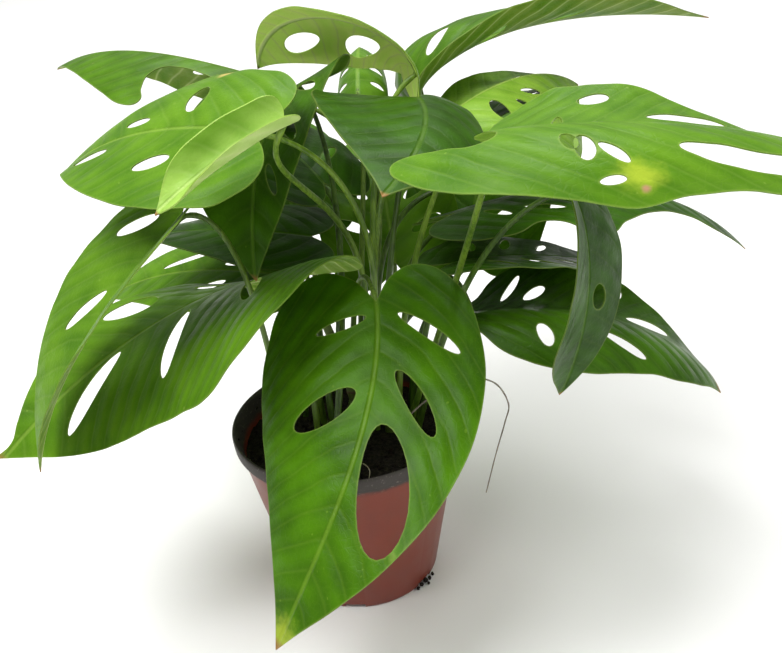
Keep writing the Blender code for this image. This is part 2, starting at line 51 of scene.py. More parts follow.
# %% [markdown]
# ## Picking one piece
# Modelling tools act on whatever is selected. Loading leaves all the CAD nodes selected, so every
# step first deselects everything and then picks the one piece that it works on.

# %% Picking one piece
def pick(piece=None):
    """Deselects everything, then selects one piece and makes it the active one."""
    for other in list(bpy.context.selected_objects):
        other.select_set(False)
    if piece is not None:
        piece.select_set(True)
        bpy.context.view_layer.objects.active = piece


def settle(piece, name):
    """Names a finished piece and puts its place into its mesh."""
    pick(piece)
    bpy.ops.object.transform_apply(location=True, rotation=True, scale=True)
    piece.name = name
    piece.data.name = name


pick()


# %% [markdown]
# ## Camera
# The photograph looks down at the plant from the front, about 32 degrees above the table, and it
# was taken from close by, so near leaves look large. The camera stands where the pot's rim, its foot
# and the leaves line up with the photograph, and it is turned a little to the side, as a camera in
# the hand is.

# %% Camera
EYE = Vector((0.0, -383.28, 330.79)) * MM
LOOK_DOWN = math.radians(31.6)
AIM_RIGHT = math.radians(3.54)
AIM_UP = math.radians(5.3)
ROLL = math.radians(-7.26)
FOCAL_PIXELS = 864
IMAGE_WIDTH = 782


def turned_towards(first, second, angle):
    """Turns one direction towards another by an angle."""
    return first * math.cos(angle) + second * math.sin(angle)


forward = Vector((0, math.cos(LOOK_DOWN), -math.sin(LOOK_DOWN)))
right = Vector((1, 0, 0))
upward = right.cross(forward)
forward, right = turned_towards(forward, right, AIM_RIGHT), turned_towards(right, -forward, AIM_RIGHT)
forward, upward = turned_towards(forward, upward, AIM_UP), turned_towards(upward, -forward, AIM_UP)
right, upward = turned_towards(right, upward, ROLL), turned_towards(upward, -right, ROLL)

pick()
bpy.ops.object.camera_add(location=EYE)
camera = bpy.context.object
camera.rotation_euler = Matrix((right, upward, -forward)).transposed().to_euler()
camera.data.sensor_width = 36.0
camera.data.lens = FOCAL_PIXELS * camera.data.sensor_width / IMAGE_WIDTH
camera.data.clip_start = 0.01
bpy.context.scene.camera = camera
print("lens in mm:", round(camera.data.lens, 2))

# %% [markdown]
# ## Floor and light
# A product photograph has a white floor and large soft lamps, so that shadows have no hard edge.
# One big lamp stands above and to the left, a weaker one fills in from the right, one hangs high
# behind, and the pale world lights the rest. A wide lamp that shines only downwards keeps the far
# floor white. The plain view transform keeps the greens as bright as they are in the photograph.

# %% Floor and light
def hex_colour(code):
    """An sRGB hex colour as the linear values that shaders use."""
    values = [int(code[i : i + 2], 16) / 255 for i in (1, 3, 5)]
    linear = [v / 12.92 if v <= 0.04045 else ((v + 0.055) / 1.055) ** 2.4 for v in values]
    return (*linear, 1.0)


def node(tree, kind, inputs=None, **settings):
    """Adds a node with its own settings, and gives its inputs values or links."""
    made = tree.nodes.new(kind)
    for name, value in settings.items():
        setattr(made, name, value)
    for key, value in (inputs or {}).items():
        if isinstance(value, bpy.types.NodeSocket):
            tree.links.new(value, made.inputs[key])
        else:
            made.inputs[key].default_value = value
    return made


bpy.context.scene.view_settings.view_transform = "Standard"
world = bpy.data.worlds.new("pale_room")
bpy.context.scene.world = world
world.use_nodes = True
room = world.node_tree.nodes["Background"]
room.inputs["Color"].default_value = hex_colour("#F7F6F2")
room.inputs["Strength"].default_value = 0.40

AIM = (0, 0, 0.12)
FLOOR_LAMP = (0.0, 4.6, 2.5)
LAMPS = [
    ("key_lamp", (-0.45, -0.35, 1.3), AIM, 0.8, 20.0, 180),
    ("fill_lamp", (1.0, -0.7, 0.8), AIM, 0.9, 5.0, 180),
    ("back_lamp", (0.3, 1.3, 2.8), AIM, 1.6, 48.0, 180),
    ("floor_lamp", FLOOR_LAMP, (FLOOR_LAMP[0], FLOOR_LAMP[1], 0.0), 6.0, 90.0, 100),
]
for lamp_name, place, target, size, watts, spread in LAMPS:
    bpy.ops.object.light_add(type="AREA", location=place)
    lamp = bpy.context.object
    lamp.name = lamp_name
    lamp.data.size = size
    lamp.data.energy = watts
    lamp.data.spread = math.radians(spread)
    lamp.rotation_euler = (Vector(target) - Vector(place)).to_track_quat("-Z", "Y").to_euler()

floor_paint = bpy.data.materials.new("matte_white_floor")
floor_paint.use_nodes = True
floor_shader = floor_paint.node_tree.nodes["Principled BSDF"]
floor_shader.inputs["Base Color"].default_value = hex_colour("#F1F1F0")
floor_shader.inputs["Roughness"].default_value = 0.9
floor_shader.inputs["Specular IOR Level"].default_value = 0.1
pick()
bpy.ops.mesh.primitive_plane_add(size=20.0)
floor = bpy.context.object
floor.name = "floor"
floor.data.materials.append(floor_paint)
print("lamps:", len(LAMPS))

# %% [markdown]
# ## Materials
# Each material starts from what the real one is. A pattern's scale is given in millimetres: the
# noise texture's scale is how many features fit in one unit, so it is one over the feature's size.

# %% Patterns that several materials share
def patches(tree, place, size, detail=3.0, roughness=0.55):
    """Noise from 0 to 1 whose features are about size metres wide."""
    made = node(
        tree, "ShaderNodeTexNoise",
        {"Vector": place, "Scale": 1 / size, "Detail": detail, "Roughness": roughness},
    )
    return made.outputs["Fac"]


def ramp(tree, value, start, stop, low=0.0, high=1.0):
    """Runs smoothly from low to high while the value goes from start to stop."""
    made = node(
        tree, "ShaderNodeMapRange",
        {"Value": value, "From Min": start, "From Max": stop, "To Min": low, "To Max": high},
        interpolation_type="SMOOTHSTEP",
    )
    return made.outputs["Result"]


def blend(tree, share, first, second):
    """Mixes two colours, each a hex code or a link."""
    first, second = [hex_colour(tint) if isinstance(tint, str) else tint for tint in (first, second)]
    made = node(tree, "ShaderNodeMix", {0: share, 6: first, 7: second}, data_type="RGBA")
    return made.outputs[2]


def reckon(tree, operation, *values):
    """One step of arithmetic."""
    made = node(tree, "ShaderNodeMath", dict(enumerate(values)), operation=operation)
    return made.outputs["Value"]


def weigh(tree, *terms):
    """Adds up values, each times its own factor."""
    total = None
    for value, factor in terms:
        part = value if factor == 1.0 else reckon(tree, "MULTIPLY", value, factor)
        total = part if total is None else reckon(tree, "ADD", total, part)
    return total


def relief(tree, shader, height, strength=1.0):
    """Raises the surface by a height in millimetres."""
    made = node(tree, "ShaderNodeBump", {"Height": height, "Strength": strength, "Distance": MM})
    tree.links.new(made.outputs["Normal"], shader.inputs["Normal"])


def new_finish(name, ior, specular=0.5):
    """An empty material and its tree, shader and place on the piece."""
    material = bpy.data.materials.new(name)
    material.use_nodes = True
    tree = material.node_tree
    shader = tree.nodes["Principled BSDF"]
    shader.inputs["IOR"].default_value = ior
    shader.inputs["Specular IOR Level"].default_value = specular
    place = node(tree, "ShaderNodeTexCoord").outputs["Object"]
    return material, tree, shader, place


# %% [markdown]
# ## Pot plastic
# A nursery pot is thin polypropylene, injection moulded and coloured all through in terracotta
# brown. The moulded skin is satin with a fine grain. Around the rim the wet soil has left a dark,
# uneven film, so the band there reads grey-brown, not red.

# %% Moulded polypropylene, terracotta brown
pot_plastic, tree, shader, place = new_finish("moulded_polypropylene_terracotta", 1.49)
SOIL_FILM_FROM = 84.5 * MM
height = node(tree, "ShaderNodeSeparateXYZ", {0: place}).outputs["Z"]
cloud = patches(tree, place, 16 * MM, 4.0)
body = blend(tree, cloud, "#6A2818", "#803422")
ragged = weigh(tree, (height, 1.0), (patches(tree, place, 5 * MM), 4 * MM))
film = ramp(tree, ragged, SOIL_FILM_FROM, SOIL_FILM_FROM + 4 * MM)
specks = ramp(tree, patches(tree, place, 1.6 * MM, 2.0), 0.60, 0.72)
grime = blend(tree, specks, "#36302C", "#5E5751")
tree.links.new(blend(tree, film, body, grime), shader.inputs["Base Color"])
satin = weigh(tree, (film, 0.25), (ramp(tree, cloud, 0.2, 0.8, 0.36, 0.46), 1.0))
tree.links.new(satin, shader.inputs["Roughness"])
relief(tree, shader, patches(tree, place, 0.7 * MM, 2.0), 0.05)
print("pot material:", pot_plastic.name)

# %% [markdown]
# ## Soil, stems and roots
# Peat soil is nearly black and fully matt, with lighter fibres and crumbs. The stems are green bark
# with brown rings where old leaves sat. An old root is dry and grey-brown, a young one nearly white.

# %% Damp peat, stem bark and roots
peat, tree, shader, place = new_finish("damp_peat", 1.45, 0.2)
grains = patches(tree, place, 1.8 * MM, 5.0, 0.7)
dark = blend(tree, ramp(tree, grains, 0.35, 0.75), "#151210", "#3A322C")
flecks = ramp(tree, patches(tree, place, 1.1 * MM, 2.0), 0.70, 0.76)
tree.links.new(blend(tree, flecks, dark, "#5A5048"), shader.inputs["Base Color"])
shader.inputs["Roughness"].default_value = 0.95
relief(tree, shader, reckon(tree, "MULTIPLY", grains, 1.4))

stem_bark, tree, shader, place = new_finish("green_stem_bark", 1.45, 0.4)
STEM_RING_SPACING = 14 * MM
height = node(tree, "ShaderNodeSeparateXYZ", {0: place}).outputs["Z"]
wavy = weigh(tree, (height, 1.0), (patches(tree, place, 8 * MM), 3 * MM))
ring = ramp(tree, reckon(tree, "PINGPONG", wavy, STEM_RING_SPACING / 2), 0.0, 1.3 * MM, 1.0, 0.0)
bark = blend(tree, patches(tree, place, 4 * MM, 4.0), "#3A4A18", "#5F6F2C")
tree.links.new(blend(tree, ring, bark, "#5B4A30"), shader.inputs["Base Color"])
shader.inputs["Roughness"].default_value = 0.6
relief(tree, shader, reckon(tree, "ADD", ring, patches(tree, place, 1.5 * MM, 4.0)), 0.5)


def root_skin(name, specular, size, roughness, dark, pale):
    """A root's skin, in two tones that change every few millimetres."""
    material, tree, shader, place = new_finish(name, 1.45, specular)
    tone = ramp(tree, patches(tree, place, size * MM, 3.0), 0.3, 0.7)
    tree.links.new(blend(tree, tone, dark, pale), shader.inputs["Base Color"])
    shader.inputs["Roughness"].default_value = roughness
    relief(tree, shader, patches(tree, place, 0.6 * MM, 2.0), 0.3)
    return material


dry_root = root_skin("dry_root_fibre", 0.3, 6, 0.8, "#6B625A", "#9C9286")
white_root = root_skin("fresh_white_root", 0.4, 4, 0.7, "#A08C78", "#D8CBB8")
print("soil, stem and root materials:", peat.name, stem_bark.name, dry_root.name, white_root.name)

# %% [markdown]
# ## Stalk skin
# A leaf stalk has the same waxy skin as the leaf, drawn out lengthwise: fine pale and dark streaks
# run along it. The noise is squeezed in height, so its spots become streaks along the upright part.

# %% Waxy stalk skin
def stalk_skin(name, dark, pale):
    """A stalk's surface, streaked in two greens."""
    material, tree, shader, place = new_finish(name, 1.45, 0.5)
    drawn = node(
        tree, "ShaderNodeMapping", {"Vector": place, "Scale": (1.0, 1.0, 0.12)}
    ).outputs["Vector"]
    streaks = patches(tree, drawn, 1.4 * MM, 3.0)
    wide = patches(tree, place, 22 * MM, 2.0)
    share = ramp(tree, reckon(tree, "ADD", streaks, wide), 0.75, 1.25)
    tree.links.new(blend(tree, share, dark, pale), shader.inputs["Base Color"])
    shader.inputs["Roughness"].default_value = 0.42
    relief(tree, shader, streaks, 0.12)
    return material


# Three copies of one skin: a middle green, a darker one that paints shade on the stalks of shaded
# leaves, and a lighter one that paints light on the stalks of the lit top leaves.
stalk_green = stalk_skin("waxy_stalk_green", "#3E580E", "#648024")
stalk_painted_shade = stalk_skin("waxy_stalk_painted_shade", "#2E460A", "#4C6A18")
stalk_painted_light = stalk_skin("waxy_stalk_painted_light", "#446410", "#74922C")
print("stalk materials:", stalk_green.name, stalk_painted_shade.name, stalk_painted_light.name)

# %% [markdown]
# ## Leaf skin
# The blade's upper side has a thin waxy skin with a soft sheen, broken up by the veins. Side veins
# leave the midrib every centimetre or so and curve towards the tip. They lie in shallow grooves with
# the blade bulging softly between them. The underside is paler and matt, with plainer veins. The
# margin and the rim of each hole are a little paler. The pattern is drawn on the flat blade, from a
# UV map of the place along and across the midrib, so it follows the blade wherever that bends.

# %% Waxy leaf skin, upper side and underside
FLAT_SCALE = 100.0
LEAF_SPECULAR = 0.1
VEIN_SPACING = 13.5
VEIN_WIDTH = 1.6
VEIN_LEAN = 0.55
VEIN_CURVE = 0.012
VEIN_WOBBLE = 5.0
BULGE_HEIGHT = 0.38
VEIN_DEPTH = 0.10
MIDRIB_DEPTH = 0.35
FINE_VEIN_SIZE = 2.6
FINE_VEIN_DEPTH = 0.03
DENT_HEIGHT = 0.35


def leaf_skin(name, deep, light, vein, under=False, gloss=0.34, marks=()):
    """A leaf's surface. Marks are (along, across, radius in mm, colour)."""
    material, tree, shader, place = new_finish(name, 1.45, LEAF_SPECULAR)
    uv = node(tree, "ShaderNodeUVMap", uv_map="flat").outputs["UV"]
    flat = node(
        tree, "ShaderNodeVectorMath", {0: uv, 1: (FLAT_SCALE, FLAT_SCALE, 0.0)}, operation="MULTIPLY"
    ).outputs["Vector"]
    parts = node(tree, "ShaderNodeSeparateXYZ", {0: flat})
    along = parts.outputs["X"]
    out = reckon(tree, "ABSOLUTE", parts.outputs["Y"])
    rim = node(tree, "ShaderNodeAttribute", attribute_name="rim").outputs["Fac"]
    share = node(tree, "ShaderNodeAttribute", attribute_name="share").outputs["Fac"]

    wobble = patches(tree, flat, 24.0, 2.0)
    square = reckon(tree, "MULTIPLY", out, out)
    start = weigh(tree, (along, 1.0), (wobble, VEIN_WOBBLE), (out, -VEIN_LEAN), (square, -VEIN_CURVE))
    from_vein = reckon(tree, "PINGPONG", start, VEIN_SPACING / 2)
    side_vein = ramp(tree, from_vein, 0.0, VEIN_WIDTH, 1.0, 0.0)
    bulge = ramp(tree, from_vein, 0.0, VEIN_SPACING / 2)
    midrib = ramp(tree, out, 0.3, 1.5, 1.0, 0.0)
    net = node(
        tree, "ShaderNodeTexVoronoi", {"Vector": flat, "Scale": 1 / FINE_VEIN_SIZE},
        feature="DISTANCE_TO_EDGE",
    ).outputs["Distance"]
    fine_veins = ramp(tree, net, 0.0, 0.12, 1.0, 0.0)
    fade = ramp(tree, rim, 0.0, 8.0)

    # Painted sheen: the colour is a little lighter on the bulges between the side veins, where light
    # would catch the swellings.
    tone = weigh(tree, (bulge, 0.14), (patches(tree, flat, 30.0, 2.0), 1.0))
    colour = blend(tree, ramp(tree, tone, 0.3, 0.85), deep, light)
    mottle = ramp(tree, patches(tree, flat, 2.4, 3.0), 0.3, 0.7, 0.0, 0.10)
    colour = blend(tree, mottle, colour, deep)
    veins = reckon(tree, "MULTIPLY", side_vein, 0.40 if under else 0.12)
    veins = reckon(tree, "MAXIMUM", veins, reckon(tree, "MULTIPLY", midrib, 0.85 if under else 0.38))
    veins = reckon(tree, "MAXIMUM", veins, reckon(tree, "MULTIPLY", fine_veins, 0.04))
    colour = blend(tree, veins, colour, vein)
    specks = ramp(tree, patches(tree, flat, 2.2, 0.0), 0.80, 0.86, 0.0, 0.3)
    colour = blend(tree, specks, colour, vein)
    for *spot, radius, tint in marks:
        offset = node(
            tree, "ShaderNodeVectorMath", {0: flat, 1: (*spot, 0.0)}, operation="DISTANCE"
        ).outputs["Value"]
        ragged = weigh(tree, (offset, 1.0), (patches(tree, flat, 4.0, 3.0), radius))
        colour = blend(tree, ramp(tree, ragged, 0.6 * radius, 1.6 * radius, 0.85, 0.0), colour, tint)
    edge = ramp(tree, rim, 0.05, 0.8, 0.24, 0.0)
    colour = blend(tree, edge, colour, "#97A655")
    ragged_tip = weigh(tree, (share, 1.0), (patches(tree, flat, 5.0, 2.0), 0.02))
    colour = blend(tree, ramp(tree, ragged_tip, 0.975, 1.0), colour, "#8A6A3A")
    tree.links.new(colour, shader.inputs["Base Color"])

    wax = ramp(tree, patches(tree, flat, 9.0, 3.0), 0.3, 0.7, gloss - 0.04, gloss + 0.08)
    tree.links.new(wax, shader.inputs["Roughness"])
    swell = weigh(tree, (bulge, BULGE_HEIGHT), (side_vein, -VEIN_DEPTH))
    height = weigh(
        tree, (reckon(tree, "MULTIPLY", swell, fade), 1.0), (midrib, -MIDRIB_DEPTH),
        (fine_veins, -FINE_VEIN_DEPTH), (patches(tree, flat, 7.0, 2.0), DENT_HEIGHT),
    )
    relief(tree, shader, reckon(tree, "MULTIPLY", height, -1.0 if under else 1.0))
    return material


# Each tone is (deep, light, vein). The tones are partly the leaves' own greens, the young leaf being
# paler, and partly painted light and shade: leaves deep inside the plant get darker tones as painted
# shade, and leaves at the top get lighter, yellower tones as painted light.
LEAF_TONES = {
    "green": ("#345808", "#4E7810", "#7C9438"),
    "front": ("#2E5206", "#467408", "#749430"),
    "leafy": ("#3E660E", "#5C8818", "#86A244"),
    "mid": ("#284804", "#3E6808", "#688A30"),
    "deep": ("#1F3D03", "#325A06", "#567620"),
    "bright": ("#406A10", "#5C861A", "#8AA848"),
    "yellow_green": ("#56801C", "#7CA234", "#B4C46C"),
    # Painted light: a pale yellow-green for an underside lit through from behind.
    "painted_backlight": ("#A4CC48", "#CAEE6A", "#D8EC80"),
    "young": ("#6C962C", "#9CC058", "#C2D88A"),
}
LEAF_MARKS = {
    "right": ((35, -46, 7, "#9CB032"), (36, -50, 1.6, "#A87A66")),
    "upper_left": ((30, -40, 5, "#C8B060"), (50, -42, 5, "#C0A055")),
    "front": ((150, 0, 12, "#93A432"),),
}
UNDERSIDE_VEIN = "#C2CE8E"
leaf_uppersides, leaf_undersides = {}, {}
for tone, (deep, light, vein) in LEAF_TONES.items():
    leaf_uppersides[tone] = leaf_skin(f"waxy_leaf_{tone}", deep, light, vein)
    leaf_undersides[tone] = leaf_skin(
        f"leaf_underside_{tone}", vein, light, UNDERSIDE_VEIN, under=True, gloss=0.55
    )
print("leaf materials:", len(leaf_uppersides) + len(leaf_undersides))

# %% [markdown]
# ## Pot
# The pot is one thin moulded wall. It could be a cylinder with a thickness, but its rim is rolled and
# its foot stands on a ring, so one ring of points is extruded up the inside, over the rim, down the
# outside and under the foot. Drain holes and the notches in the foot are cut with Booleans at the end.

# %% Pot
POT_SIDES = 128
POT_PROFILE = [
    (1.0, 4.6), (37.6, 4.6), (39.3, 5.4), (40.2, 7.0), (55.3, 85.0), (56.0, 87.6), (57.7, 93.2),
    (58.3, 94.4), (58.9, 94.9), (59.5, 94.8), (59.9, 94.2), (60.0, 93.2), (59.6, 88.2),
    (59.2, 87.4), (58.2, 86.9), (57.4, 86.6), (57.1, 86.0), (40.7, 1.6), (40.3, 0.6), (39.6, 0.1),
    (38.8, 0.0), (37.6, 0.0), (36.8, 0.4), (35.6, 2.6), (34.8, 3.0), (21.6, 3.0), (20.6, 2.6),
    (19.4, 0.4), (18.6, 0.0), (1.0, 0.0),
]
DRAIN_COUNT = 6
DRAIN_RING = 31.0
DRAIN_RADIUS = 4.0
DRAIN_START = 0.3
NOTCH_RING = 39.0
NOTCH_DEPTH = 8.0
NOTCH_WIDTH = 11.0
NOTCH_HEIGHT = 2.8


def turn_up(name, profile, sides):
    """Extrudes one ring of points along a profile of (radius, height) in millimetres."""
    pick()
    radius, height = profile[0]
    bpy.ops.mesh.primitive_circle_add(vertices=sides, radius=radius * MM, location=(0, 0, height * MM))
    piece = bpy.context.object
    bpy.ops.object.mode_set(mode="EDIT")
    bpy.ops.mesh.edge_face_add()
    for next_radius, next_height in profile[1:]:
        bpy.ops.mesh.extrude_region_move(
            TRANSFORM_OT_translate={"value": (0, 0, (next_height - height) * MM)}
        )
        factor = next_radius / radius
        bpy.ops.transform.resize(value=(factor, factor, 1), center_override=(0, 0, next_height * MM))
        radius, height = next_radius, next_height
    bpy.ops.mesh.select_all(action="SELECT")
    bpy.ops.mesh.fill_holes(sides=0)
    bpy.ops.mesh.select_all(action="SELECT")
    bpy.ops.mesh.normals_make_consistent(inside=False)
    bpy.ops.object.mode_set(mode="OBJECT")
    settle(piece, name)
    return piece


def cut_away(piece, cutter):
    """Subtracts one piece from another and removes the cutter."""
    pick(piece)
    cut = piece.modifiers.new("cut", "BOOLEAN")
    cut.object = cutter
    cut.operation = "DIFFERENCE"
    cut.solver = "EXACT"
    bpy.ops.object.modifier_apply(modifier=cut.name)
    bpy.data.objects.remove(cutter)


pot = turn_up("pot_shell", POT_PROFILE, POT_SIDES)
for index in range(DRAIN_COUNT):
    turn = (index + DRAIN_START) * math.tau / DRAIN_COUNT
    outward = Vector((math.cos(turn), math.sin(turn), 0))
    pick()
    bpy.ops.mesh.primitive_cylinder_add(
        vertices=32, radius=DRAIN_RADIUS * MM, depth=20 * MM, location=outward * DRAIN_RING * MM
    )
    cut_away(pot, bpy.context.object)
    pick()
    bpy.ops.mesh.primitive_cube_add(size=1.0, location=outward * NOTCH_RING * MM, rotation=(0, 0, turn))
    bpy.context.object.scale = (NOTCH_DEPTH * MM, NOTCH_WIDTH * MM, 2 * NOTCH_HEIGHT * MM)
    cut_away(pot, bpy.context.object)
pot.data.materials.clear()
pot.data.materials.append(pot_plastic)
pick(pot)
bpy.ops.object.shade_smooth_by_angle(angle=math.radians(35))
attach(pot, "root")
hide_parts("pot")
print("pot faces:", len(pot.data.polygons))

# %% [markdown]
# ## Soil
# Potting soil is a heap of crumbs, not a smooth plug. Its top is turned up as many rings, and every
# point is then lifted or lowered by smooth noise. Loose crumbs, modelled once as a small lump and
# copied with a new size and turn each time, lie on it, on the rim's inside and by the foot.

# %% Soil
SOIL_RINGS = 44
SOIL_TOP = 84.0
SOIL_RADIUS = 55.1
SOIL_FALL = 3.0
SOIL_EDGE = 57.2


def soil_height(radius):
    """The soil's top, which falls a little towards the wall, in millimetres."""
    return SOIL_TOP - SOIL_FALL * (radius / SOIL_EDGE) ** 2


rings = [max(0.6, SOIL_RADIUS * step / SOIL_RINGS) for step in range(SOIL_RINGS + 1)]
soil_profile = [(radius, soil_height(radius)) for radius in rings]
soil = turn_up("soil_heap", soil_profile + [(54.0, 80.0), (39.6, 5.0), (1.0, 5.0)], 144)
for vertex in soil.data.vertices:
    if vertex.co.z > 80.5 * MM:
        spot = vertex.co / MM
        lumps = noise.noise(spot / 11) * 1.1 + noise.noise(spot / 4.0) * 0.9
        vertex.co.z += (lumps + noise.noise(spot / 1.7) * 0.5) * MM
soil.data.materials.append(peat)
pick(soil)
bpy.ops.object.shade_smooth()
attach(soil, "root")
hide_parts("soil")
print("soil faces:", len(soil.data.polygons))

# %% Loose crumbs
CRUMBS = 230
chance = random.Random(11)
pick()
bpy.ops.mesh.primitive_ico_sphere_add(subdivisions=2, radius=1.0)
lump = bpy.context.object
for vertex in lump.data.vertices:
    vertex.co *= 1.0 + 0.45 * noise.noise(vertex.co * 1.6 + Vector((3, 5, 7)))
crumbs = []


def drop_crumb(spot, turns, scale):
    """Copies the lump to a place in millimetres, turned and sized."""
    crumb = lump.copy()
    crumb.data = lump.data.copy()
    bpy.context.scene.collection.objects.link(crumb)
    crumb.location = Vector(spot) * MM
    crumb.rotation_euler = turns
    crumb.scale = Vector(scale) * MM
    crumbs.append(crumb)


for index in range(CRUMBS):
    size = chance.choice((0.7, 0.9, 1.2, 1.2, 1.6, 2.3))
    turn = chance.uniform(0, math.tau)
    if index % 10 == 0:
        radius, level = chance.uniform(56.0, 57.0), 90.0 + chance.uniform(-2, 2)
        size *= 0.6
    else:
        radius = 53.0 * math.sqrt(chance.random())
        level = soil_height(radius) + 0.3 * size
    turns = [chance.uniform(0, 3) for _ in range(3)]
    scale = [chance.uniform(low, high) * size for low, high in ((0.7, 1.5), (0.6, 1.1), (0.4, 0.8))]
    drop_crumb((radius * math.cos(turn), radius * math.sin(turn), level), turns, scale)
FOOT_CRUMBS = [
    (30.5, -28.5, 1.7), (33, -26.5, 1.3), (28, -31, 1.4), (35, -23.5, 1.1), (32, -30, 1.0),
    (26, -33, 1.1),
]
for x, y, size in FOOT_CRUMBS:
    drop_crumb((x, y, 1.2 * size), (x, y, size), (size, 0.9 * size, 0.7 * size))
bpy.data.objects.remove(lump)
pick(crumbs[0])
for crumb in crumbs:
    crumb.select_set(True)
bpy.ops.object.join()
loose = bpy.context.object
settle(loose, "soil_crumbs")
loose.data.materials.clear()
loose.data.materials.append(peat)
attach(loose, "root")
print("crumbs:", len(crumbs), "triangles:", len(loose.data.polygons))

# %% [markdown]
# ## Tubes that taper
# Stalks, stems and roots are all long round things that change thickness along the way. A curve with
# a round bevel gives that: each point carries its own radius. The curve is then made a mesh.

# %% A tapering tube along a route
def grow_tube(name, points, radii, finish, detail=4):
    """A closed round tube through points in metres, with a radius at each."""
    curve = bpy.data.curves.new(name, "CURVE")
    curve.dimensions = "3D"
    curve.bevel_depth = 1.0
    curve.bevel_resolution = detail
    curve.use_fill_caps = True
    route = curve.splines.new("POLY")
    route.points.add(len(points) - 1)
    for knot, spot, radius in zip(route.points, points, radii):
        knot.co = (*spot, 1)
        knot.radius = radius
    piece = bpy.data.objects.new(name, curve)
    bpy.context.scene.collection.objects.link(piece)
    pick(piece)
    bpy.ops.object.convert(target="MESH")
    piece = bpy.context.object
    piece.data.materials.clear()
    piece.data.materials.append(finish)
    bpy.ops.object.shade_smooth_by_angle(angle=math.radians(60))
    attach(piece, "root")
    return piece


def through(places, count):
    """Points along a smooth curve through the given places, in metres."""
    padded = [2 * places[0] - places[1], *places, 2 * places[-1] - places[-2]]
    route = []
    for step in range(count):
        reach = min(step * (len(places) - 1) / (count - 1), len(places) - 1 - 1e-9)
        index = int(reach)
        part = reach - index
        before, start, stop, after = padded[index : index + 4]
        slope = (stop - before) * part
        bend = (2 * before - 5 * start + 4 * stop - after) * part**2
        twist = (3 * start - before - 3 * stop + after) * part**3
        route.append((2 * start + slope + bend + twist) / 2)
    return route


# %% [markdown]
# ## Stems and roots
# The vine climbs on short jointed stems. At each joint, where a leaf once sat, the stem is a little
# thicker. One thread-like root has grown out over the pot's edge and hangs down at the right, and a
# few pale young roots show on the soil.

# %% Stems and roots
STEMS = [((7, -3), (-14, -4)), ((12, 12), (6, -6)), ((21, -4), (3, 5))]
STEM_HEIGHT = 72.0
STEM_RADIUS = 3.2
JOINTS = 5
STEM_STEPS = 40
for index, (root, lean) in enumerate(STEMS):
    foot = Vector((root[0], root[1], 0.0))
    foot.z = soil_height(foot.length) - 4
    points = []
    radii = []
    for step in range(STEM_STEPS + 1):
        share = step / STEM_STEPS
        rise = Vector((0, 0, (STEM_HEIGHT + 4) * share))
        points.append((foot + Vector((*lean, 0)) * share**1.5 + rise) * MM)
        swell = max(0.0, math.cos(share * JOINTS * math.tau)) ** 6
        close = math.sqrt(max(min(1.0, (1.0 - share) * 14), 0.02))
        radii.append(STEM_RADIUS * MM * (1 - 0.3 * share) * (0.93 + 0.12 * swell) * close)
    piece = grow_tube(f"jointed_stem_{index + 1}", points, radii, stem_bark)
    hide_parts(f"stem_{index + 1}")

THREAD = [
    (22, -7.1, 92), (27, -18, 98), (40, -24, 112), (58, -24, 120), (73, -20, 114), (80, -20, 101),
    (78, -20, 90), (73, -20, 72), (67, -20, 48),
]
route = through([Vector(spot) * MM for spot in THREAD], 60)
radii = [0.5 * MM * (1 - 0.35 * step / 59) * (1 + 0.12 * math.sin(step * 1.9)) for step in range(60)]
thread = grow_tube("thread_root", route, radii, dry_root, 2)
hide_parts("aerial_root")

YOUNG_ROOTS = [
    [(-14, -50, 82), (-10, -53, 83.6), (-4, -54.5, 84.5), (-1, -55.2, 85.5)],
    [(-12, -48, 82), (-8, -51.5, 83.4), (-5, -54, 84.8), (-7, -55.3, 87)],
    [(-9, -55, 84), (-5, -55.2, 84.6), (-1, -54.6, 84.0), (3, -52.5, 82.6)],
    [(-2, -30, 84.2), (4, -33, 85.5), (7, -38, 84.8), (6, -44, 83.0)],
    [(-52, -14, 83), (-54, -17, 84.6), (-53.5, -20, 86.5), (-51.5, -23, 88)],
    [(-50, -24, 82.5), (-51, -27, 84.6), (-49, -30, 86.2), (-46, -33, 87)],
    [(20, -40, 83), (26, -42, 84.2), (31, -40, 83.8), (36, -36, 82.6)],
    [(-30, 34, 83), (-24, 39, 84.2), (-15, 42, 83.8), (-8, 41, 82.6)],
]
for index, spots in enumerate(YOUNG_ROOTS):
    route = through([Vector(spot) * MM for spot in spots], 18)
    radii = [(0.42 - 0.26 * step / 17) * MM for step in range(18)]
    piece = grow_tube(f"young_root_{index + 1}", route, radii, white_root, 1)
print("stems and roots:", len(STEMS) + 1 + len(YOUNG_ROOTS))

# %% [markdown]
# ## Leaf blades
# Each blade is described the way a botanist would measure it: where its notch is, where it points,
# how steeply it starts and how much it droops, its length and the width of each half, how the halves
# fold up and cup, and its holes as (start, end, width) in millimetres on the flat blade. A leaf with
# an edge of its own also has that edge as a row of points on the flat blade. Each row starts with the
# notch, the heading, the first pitch, the length and the widths of the left and right halves.

# %% The measures of a blade
HALF_OUTLINE = [
    (0.0, 0.0), (-0.75, 0.20), (-1.0, 0.48), (-0.45, 0.78), (0.10, 0.95), (0.27, 1.0),
    (0.47, 0.90), (0.66, 0.66), (0.82, 0.36), (0.92, 0.15), (0.97, 0.055), (1.0, 0.0),
]
WIDEST_AT = 0.27


